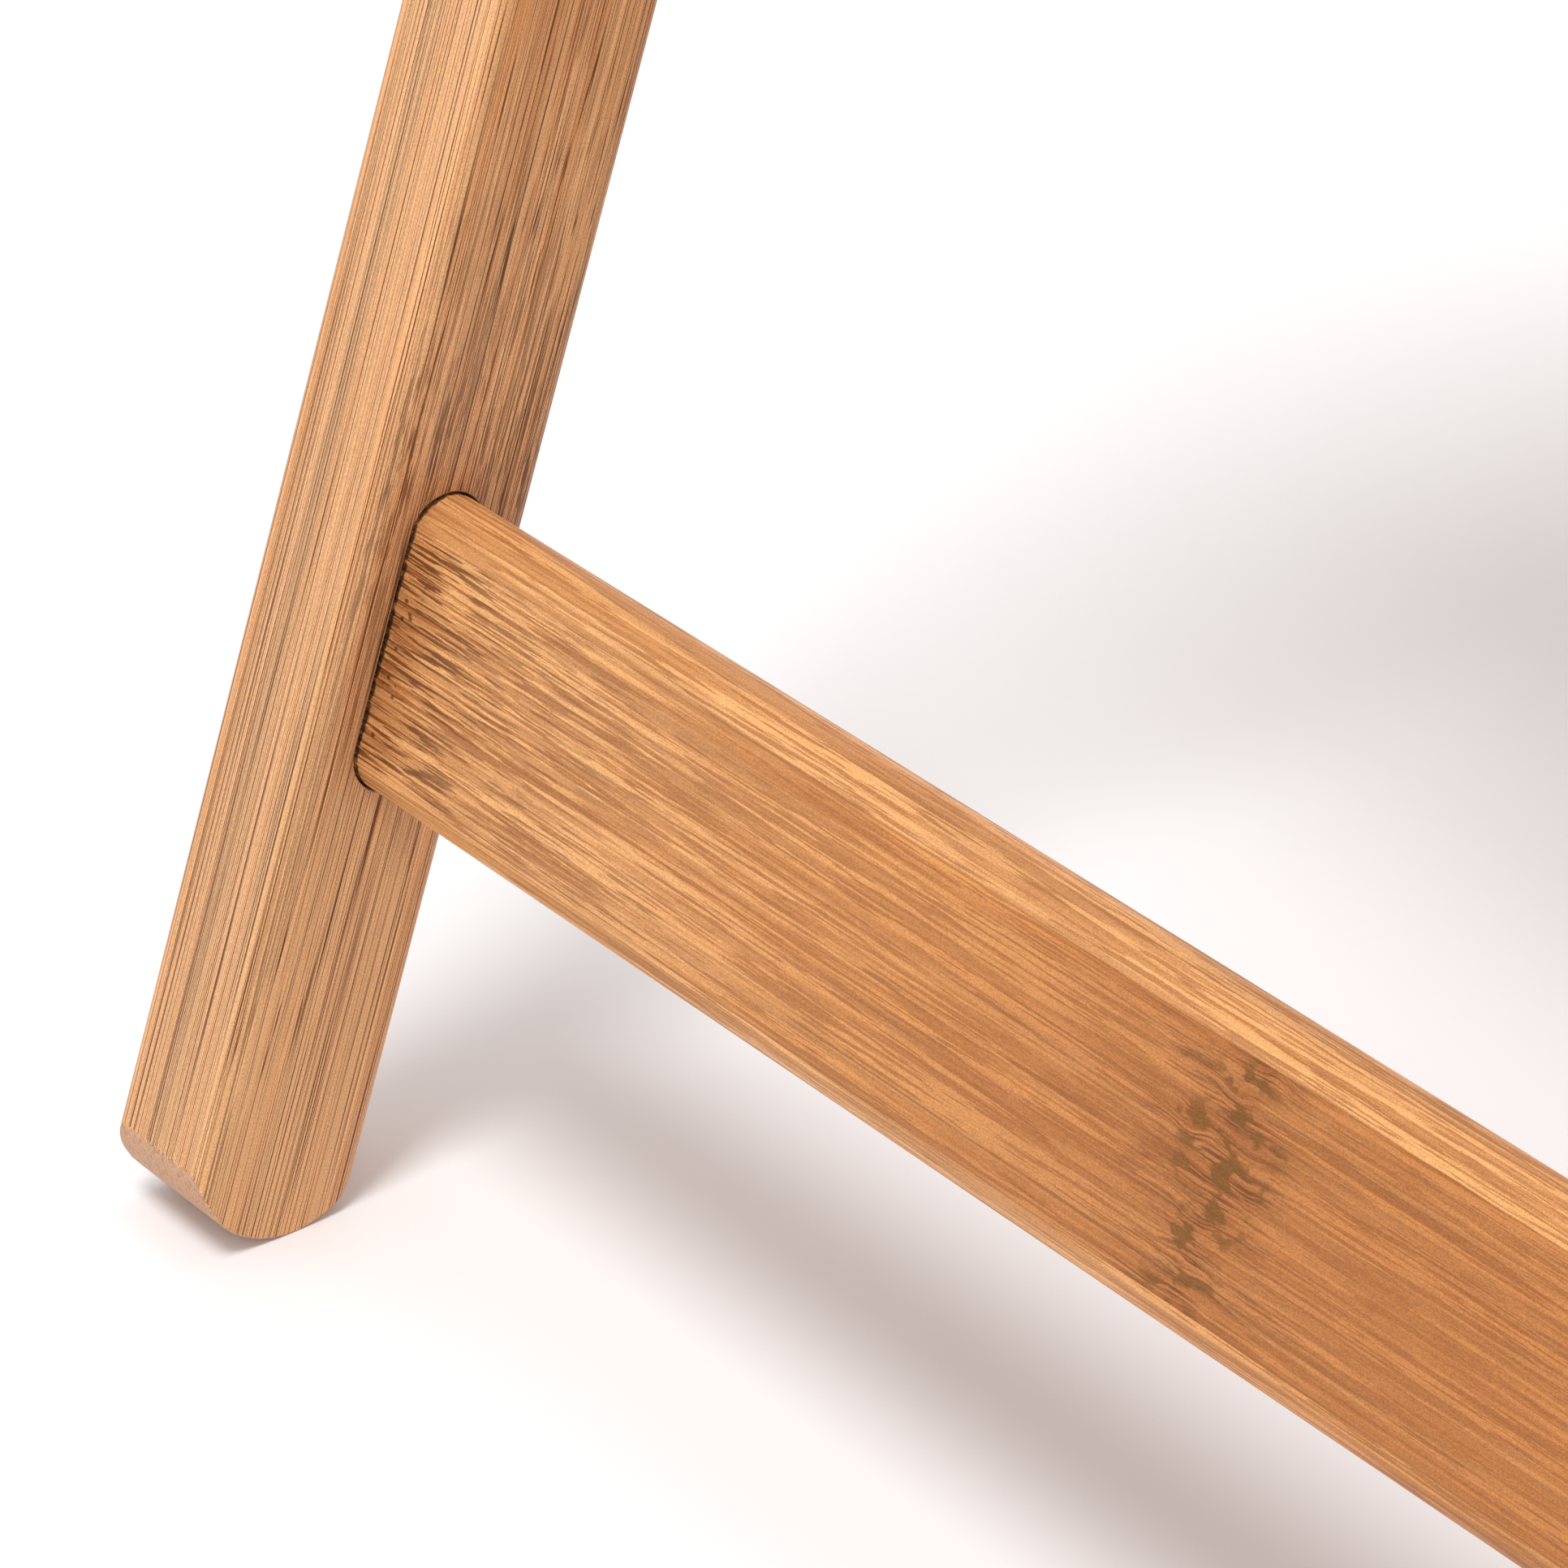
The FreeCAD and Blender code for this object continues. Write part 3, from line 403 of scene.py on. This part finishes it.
def refine(node):
    """A copy of a CAD node with merged flat faces and eased edges."""
    piece = bpy.data.objects.new(f"bamboo_{node}", nodes[node].data.copy())
    bpy.context.scene.collection.objects.link(piece)
    mesh = bmesh.new()
    mesh.from_mesh(piece.data)
    bmesh.ops.remove_doubles(mesh, verts=mesh.verts, dist=WELD)
    bmesh.ops.dissolve_limit(mesh, angle_limit=FLAT_ANGLE, verts=mesh.verts, edges=mesh.edges)
    mesh.to_mesh(piece.data)
    mesh.free()
    bevel = piece.modifiers.new("eased", "BEVEL")
    bevel.width = EASED_EDGE
    bevel.segments = 2
    bevel.limit_method = "ANGLE"
    bevel.angle_limit = SHARP_ANGLE
    bevel.use_clamp_overlap = False
    bevel.miter_outer = "MITER_ARC"
    shown = bpy.data.meshes.new_from_object(piece.evaluated_get(bpy.context.evaluated_depsgraph_get()))
    piece.modifiers.clear()
    piece.data = shown
    for polygon in shown.polygons:
        polygon.use_smooth = True
    shown.set_sharp_from_angle(angle=SHARP_ANGLE)
    return piece


def store(piece, values):
    """Store vectors on a piece, one for the whole piece or one for each point."""
    count = len(piece.data.vertices)
    for name, vectors in values.items():
        if isinstance(vectors, tuple):
            vectors = [vectors] * count
        attribute = piece.data.attributes.new(name, "FLOAT_VECTOR", "POINT")
        attribute.data.foreach_set("vector", [number for vector in vectors for number in vector])


def natural_grain(seed, length):
    """Random nodes, tones and lags for a piece of the given length in millimetres."""
    first = seed.uniform(-0.45, -0.15) * length
    second = first + seed.uniform(0.25, 0.5) * length
    return {
        "knots": (first, second, second + seed.uniform(0.25, 0.5) * length),
        "tones": tuple(seed.uniform(0.0, 0.75) for _ in range(3)),
        "tones_beyond": tuple(seed.uniform(0.0, 0.75) for _ in range(3)),
        "lags": tuple(seed.uniform(-35, 35) for _ in range(3)),
        "marks": (1.0, 1.0, 1.0),
    }


# The two pieces of the lower left corner, whose nodes and tones are known.
KNOWN_GRAIN = {
    "front_bottom_rail": {
        "knots": (-230.0, -74.0, 90.0),
        "tones": (0.0, 0.0, 0.0),
        "tones_beyond": (0.95, 1.15, 0.45),
        "lags": (80.0, 0.0, 105.0),
        "marks": (0.15, 1.0, 0.15),
    },
    "front_leg_left": {
        "knots": (-456.0, -150.0, 210.0),
        "tones": (0.35, 0.10, 0.08),
        # The last lamination, on the inner face, turns dark past the first node: partly its own tone, partly
        # painted shade where less light bounces up from the floor.
        "tones_beyond": (0.30, 0.10, 1.70),
        "lags": (0.0, 0.0, 0.0),
        "marks": (1.0, 0.15, 0.9),
    },
}


def bamboo_piece(node, body, material):
    """Refine a CAD node, store its grain, and let it stand for the node."""
    seed = random.Random(node)
    turn = LEANING if node.startswith("front_") else UPRIGHT
    low, high = local_box(node, turn)
    middle = (low + high) / 2
    size = high - low
    axes = (2, 0, 1) if "_leg_" in node else sorted(range(3), key=lambda axis: -size[axis])
    piece = refine(node)
    back = turn.inverted()
    places = [(back @ vertex.co - middle) * MM for vertex in piece.data.vertices]
    store(piece, {
        "grain": [[place[axis] for axis in axes] for place in places],
        "seed": tuple(seed.uniform(0, 900) for _ in range(3)),
        "along": tuple(turn.col[axes[0]]),
    })
    store(piece, natural_grain(seed, size[axes[0]] * MM) | KNOWN_GRAIN.get(node, {}))
    piece.data.materials.clear()
    piece.data.materials.append(material)
    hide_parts(node)
    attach(piece, body)


rail_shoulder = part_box("front_leg_right")[0].x * MM

materials = {
    "bamboo_leg": Bamboo(
        "bamboo_leg", strip=17.6, offset=8.8, stripes=(300, 0.30, 0.22), streaks=(40, 0.15, 0.25),
        dashes=(7.0, 0.22, 1.0), lines=(0.36, 1.15), knots=0.12, olive=0.4,
        tint=(1.28, 1.23, 1.20)).material,
    "bamboo_rail": Bamboo(
        "bamboo_rail", strip=31.0, offset=15.5, stripes=(70, 1.3, 0.42), streaks=(24, 0.6, 0.80),
        dashes=(10.0, 0.42, 1.15), lines=(3.0, 0.2), knots=0.70, olive=0.1,
        tint=(1.17, 1.05, 0.84), shoulder=rail_shoulder).material,
    "bamboo_slat": Bamboo(
        "bamboo_slat", strip=17.0, offset=0.0, stripes=(80, 1.2, 0.35), streaks=(20, 0.6, 0.60),
        dashes=(8.0, 0.5, 0.6), lines=(2.6, 0.3), knots=0.70, olive=0.2,
        tint=(1.04, 0.95, 0.86)).material,
    "steel": Steel("steel").material,
}

for body, members in frame["record"]["behaviour"]["bodies"].items():
    for node in members:
        if slots[node] == "steel":
            for material_slot in nodes[node].material_slots:
                material_slot.material = materials["steel"]
        else:
            bamboo_piece(node, body, materials[slots[node]])


# ---------------------------------------------------------------- floor, light and camera

FLOOR_SIZE = 60.0
FLOOR_COLOUR = (0.876, 0.862, 0.866, 1.0)
KEY_DIRECTION = (0.11, -0.45, 1.0)
KEY_POWER = 65.0
KEY_COLOUR = (0.97, 1.0, 1.01)
OVERHEAD_DIRECTION = (0.0, 0.4, 1.0)
OVERHEAD_POWER = 22.0
SURROUND_STRENGTH = 0.79
SURROUND_COLOUR = (0.975, 0.990, 1.0, 1.0)
LENS = 165.35
SENSOR = 36.0
CAMERA_RIGHT = Vector((0.61939, 0.78509, 0.0))
CAMERA_VIEW = Vector((-0.67969, 0.53623, -0.50047))
CAMERA_FROM_FOOT = Vector((0.6583, -0.4309, 0.5154))


def make_floor():
    """Plain pale floor under the whole shelf."""
    bpy.ops.mesh.primitive_plane_add(size=FLOOR_SIZE)
    floor = bpy.context.object
    floor.name = "floor"
    finish = Graph("floor")
    finish.shade({"Base Color": FLOOR_COLOUR, "Specular IOR Level": 0.1}, Roughness=0.75)
    floor.data.materials.append(finish.material)


def area_light(name, towards, distance, target, size, power, colour=(1, 1, 1)):
    """A round lamp that shines at the target."""
    data = bpy.data.lights.new(name, "AREA")
    data.shape = "DISK"
    data.size = size
    data.energy = power
    data.color = colour
    light = bpy.data.objects.new(name, data)
    bpy.context.scene.collection.objects.link(light)
    direction = Vector(towards).normalized()
    light.location = Vector(target) + direction * distance
    light.rotation_euler = direction.to_track_quat("Z", "Y").to_euler()


def make_light(target):
    """A soft light high in front, a broader one overhead behind, and an even white surround."""
    area_light("key", KEY_DIRECTION, distance=3.2, target=target, size=1.10, power=KEY_POWER,
               colour=KEY_COLOUR)
    area_light("overhead", OVERHEAD_DIRECTION, distance=3.0, target=target, size=2.0,
               power=OVERHEAD_POWER)
    world = bpy.data.worlds.new("surround")
    bpy.context.scene.world = world
    world.use_nodes = True
    background = world.node_tree.nodes["Background"]
    background.inputs["Color"].default_value = SURROUND_COLOUR
    background.inputs["Strength"].default_value = SURROUND_STRENGTH


def foot_contact():
    """Where the left front foot's round end touches the floor."""
    box_low, box_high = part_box("front_leg_left")
    leg_low, leg_high = local_box("front_leg_left", LEANING)
    half_depth = (leg_high.y - leg_low.y) / 2
    corner_rise = math.sqrt(FOOT_RADIUS ** 2 - half_depth ** 2)
    foot_reach = half_depth * math.cos(LEAN) + corner_rise * math.sin(LEAN)
    return Vector(((box_low.x + box_high.x) / 2, box_low.y + foot_reach, 0.0))


def make_camera():
    """Close view of the lower left corner, from the right and in front, looking down."""
    data = bpy.data.cameras.new("camera")
    data.lens = LENS
    data.sensor_width = SENSOR
    data.clip_start = 0.01
    camera = bpy.data.objects.new("camera", data)
    bpy.context.scene.collection.objects.link(camera)
    right = CAMERA_RIGHT.normalized()
    view = CAMERA_VIEW.normalized()
    up = right.cross(view)
    turn = Matrix((right, up, -view)).transposed().to_4x4()
    camera.matrix_world = Matrix.Translation(foot_contact() + CAMERA_FROM_FOOT) @ turn
    bpy.context.scene.camera = camera


make_floor()
make_light(target=(0.0, 0.0, 0.3))
make_camera()
bpy.context.scene.view_settings.view_transform = "Standard"
